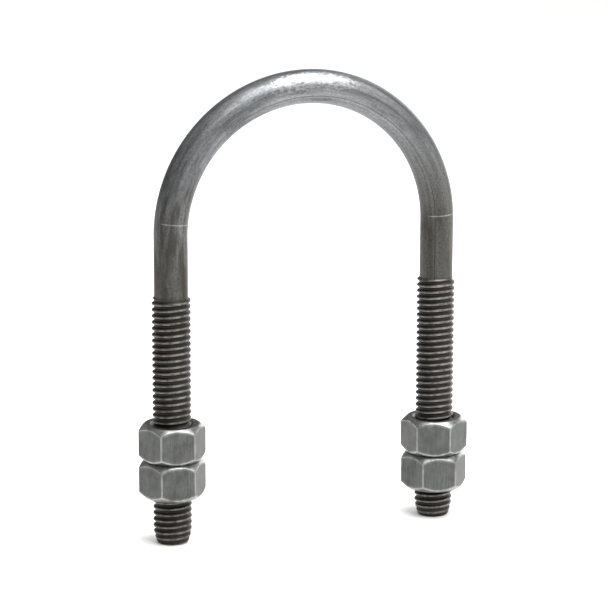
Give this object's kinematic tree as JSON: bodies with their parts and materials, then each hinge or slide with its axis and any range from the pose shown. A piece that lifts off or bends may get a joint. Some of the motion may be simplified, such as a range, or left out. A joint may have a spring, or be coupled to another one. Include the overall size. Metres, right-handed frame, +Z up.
{
  "type": "u-bolt",
  "caption": "Round-bend U-bolt in plain steel with threaded legs and pairs of jammed hex nuts, for clamping a pipe to a flat bar or plate.",
  "frame": {"origin": "midway between the two legs, at the level of their flat ends", "axes": "+Z up along the legs towards the bend, +X across from the left leg to the right leg, +Y along the clamped pipe, away from the front"},
  "size_m": [0.0885, 0.0172, 0.1184],
  "materials": {
    "rod_steel": "plain hot-rolled steel, as rolled, dull with burnished patches and dark oily thread roots",
    "nut_steel": "plain steel, satin flats with bright rubbed chamfer edges"
  },
  "bodies": {
    "bolt": {"bent_rod": "rod_steel"},
    "upper_nut_left": {"upper_nut_left": "nut_steel"},
    "lower_nut_left": {"lower_nut_left": "nut_steel"},
    "upper_nut_right": {"upper_nut_right": "nut_steel"},
    "lower_nut_right": {"lower_nut_right": "nut_steel"}
  },
  "joints": [
    {"name": "upper_nut_left_travel", "type": "slide", "parent": "bolt", "child": "upper_nut_left", "axis": [0, 0, 1], "range_m": [0, 0.03016]},
    {"name": "lower_nut_left_travel", "type": "slide", "parent": "bolt", "child": "lower_nut_left", "axis": [0, 0, 1], "range_m": [-0.01111, 0]},
    {"name": "upper_nut_right_travel", "type": "slide", "parent": "bolt", "child": "upper_nut_right", "axis": [0, 0, 1], "range_m": [0, 0.03334]},
    {"name": "lower_nut_right_travel", "type": "slide", "parent": "bolt", "child": "lower_nut_right", "axis": [0, 0, 1], "range_m": [-0.00635, 0]}
  ]
}
